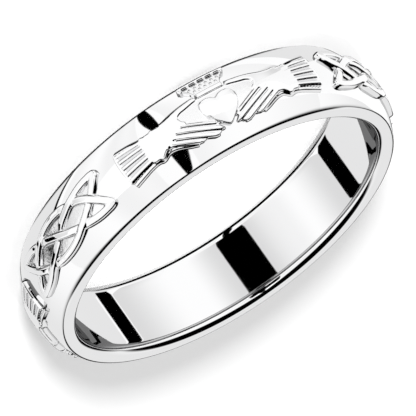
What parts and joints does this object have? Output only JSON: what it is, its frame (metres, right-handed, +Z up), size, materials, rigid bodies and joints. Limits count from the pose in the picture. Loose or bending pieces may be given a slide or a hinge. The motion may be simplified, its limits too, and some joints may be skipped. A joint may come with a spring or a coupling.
{
  "type": "claddagh ring",
  "caption": "Court-shaped finger ring in polished white metal, cast in relief with hands that hold a crowned heart and with three-lobed Celtic plaits between them.",
  "frame": {"origin": "centre of the ring's bounding box at its bottom, where the crown-side rim lies on the surface", "axes": "+Z up along the finger's axis, toward the fingertip-side rim; the middle of the first heart faces -Y; +X to the right of that heart"},
  "size_m": [0.0197, 0.0197, 0.004],
  "materials": {
    "white_metal": "bright polish, with a fine matt texture in the sunken ground"
  },
  "bodies": {
    "root": {"ring": "white_metal"}
  },
  "joints": []
}
